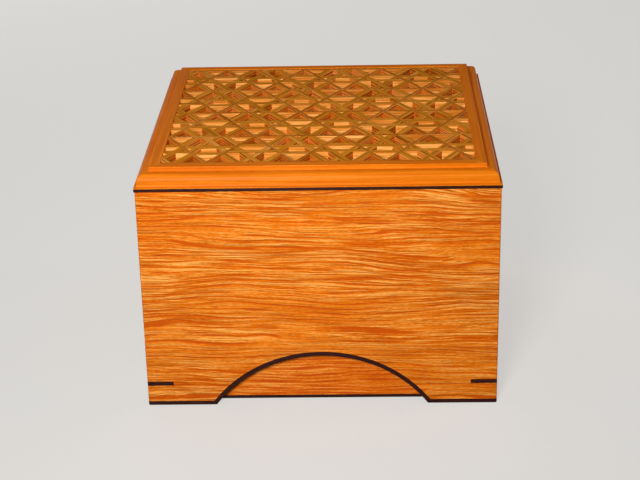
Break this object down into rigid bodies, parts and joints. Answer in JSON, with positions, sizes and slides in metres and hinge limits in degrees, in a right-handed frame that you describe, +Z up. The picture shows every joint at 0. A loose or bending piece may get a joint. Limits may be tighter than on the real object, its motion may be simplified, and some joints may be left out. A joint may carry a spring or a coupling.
{
  "type": "shogi piece box",
  "caption": "Square mitred wooden box with an arch in the foot of each side, dark edging and a lift-off lid framed round an openwork lattice.",
  "frame": {"origin": "on the table under the middle of the box", "axes": "+Z up, -Y towards the front face, +X to the right of someone who faces the front"},
  "size_m": [0.1356, 0.1356, 0.0968],
  "materials": {
    "case_wood": "oiled open grain, horizontal, raised",
    "liner_wood": "oiled, fine grain",
    "lid_wood": "polished close grain along each moulding",
    "rib_wood": "planed, slightly darker than the slats",
    "slat_wood": "planed",
    "ebony": "dark close grain, satin"
  },
  "bodies": {
    "case": {"front_wall": "case_wood", "front_rim_strip": "ebony", "front_arch_edging": "ebony", "front_left_foot_sole": "ebony", "front_right_foot_sole": "ebony", "front_liner": "liner_wood", "front_liner_edging": "ebony", "right_wall": "case_wood", "right_rim_strip": "ebony", "right_arch_edging": "ebony", "right_left_foot_sole": "ebony", "right_right_foot_sole": "ebony", "right_liner": "liner_wood", "right_liner_edging": "ebony", "back_wall": "case_wood", "back_rim_strip": "ebony", "back_arch_edging": "ebony", "back_left_foot_sole": "ebony", "back_right_foot_sole": "ebony", "back_liner": "liner_wood", "back_liner_edging": "ebony", "left_wall": "case_wood", "left_rim_strip": "ebony", "left_arch_edging": "ebony", "left_left_foot_sole": "ebony", "left_right_foot_sole": "ebony", "left_liner": "liner_wood", "left_liner_edging": "ebony", "front_right_corner_key": "ebony", "front_left_corner_key": "ebony", "back_right_corner_key": "ebony", "back_left_corner_key": "ebony", "bottom_board": "liner_wood"},
    "lid": {"lid_front_moulding": "lid_wood", "lid_right_moulding": "lid_wood", "lid_back_moulding": "lid_wood", "lid_left_moulding": "lid_wood", "lid_backing_board": "lid_wood", "lattice_cross_ribs": "rib_wood", "lattice_rising_ribs": "rib_wood", "lattice_falling_ribs": "rib_wood", "lattice_back_stars": "slat_wood", "lattice_front_stars": "slat_wood"}
  },
  "joints": [
    {"name": "lid_lift", "type": "slide", "parent": "case", "child": "lid", "axis": [0, 0, 1], "range_m": [0, 0.12]}
  ]
}
